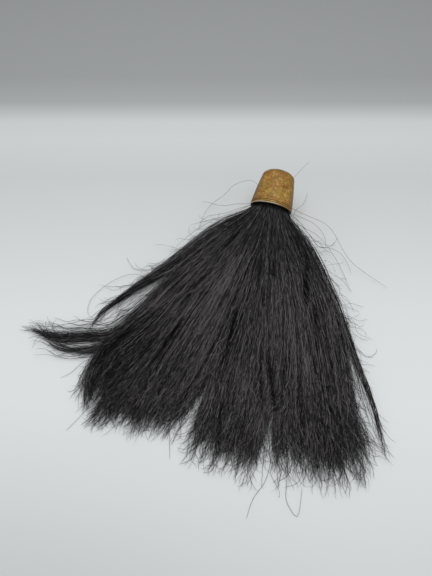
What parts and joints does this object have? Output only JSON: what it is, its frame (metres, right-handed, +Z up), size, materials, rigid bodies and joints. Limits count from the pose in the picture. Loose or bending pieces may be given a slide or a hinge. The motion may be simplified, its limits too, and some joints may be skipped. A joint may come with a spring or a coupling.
{
  "type": "fly whisk",
  "caption": "Short fly whisk: a fanned tuft of black horsehair, bound and glued into a small domed cap of turned wood, lying on its hair.",
  "frame": {"origin": "on the surface that the hair lies on, under the middle of the whole object", "axes": "+Z up; the tuft fans out towards -Y, and the cap's closed end rises towards +Y, turned a little to +X"},
  "size_m": [0.4102, 0.3936, 0.0674],
  "materials": {
    "turned_wood": "mottled golden-brown, lightly polished",
    "pale_wood": "bare and pale",
    "hardened_glue": "hard brown glue",
    "hemp_cord": "twisted cord",
    "horsehair": "black hair with a soft sheen"
  },
  "bodies": {
    "root": {"cap": "turned_wood", "mouth_ring": "pale_wood", "glue_bed": "hardened_glue", "binding_cord": "hemp_cord", "far_left_lock": "horsehair", "left_curl_upper": "horsehair", "left_curl_lower": "horsehair", "left_lobe_outer": "horsehair", "left_lobe_upper": "horsehair", "left_lobe_lower": "horsehair", "left_lobe_inner": "horsehair", "centre_lobe_left": "horsehair", "centre_lobe_middle": "horsehair", "centre_lobe_right": "horsehair", "right_lobe_left": "horsehair", "right_lobe_middle": "horsehair", "right_lobe_outer": "horsehair", "right_wisp": "horsehair", "left_stray_hairs": "horsehair", "right_stray_hairs": "horsehair"}
  },
  "joints": []
}
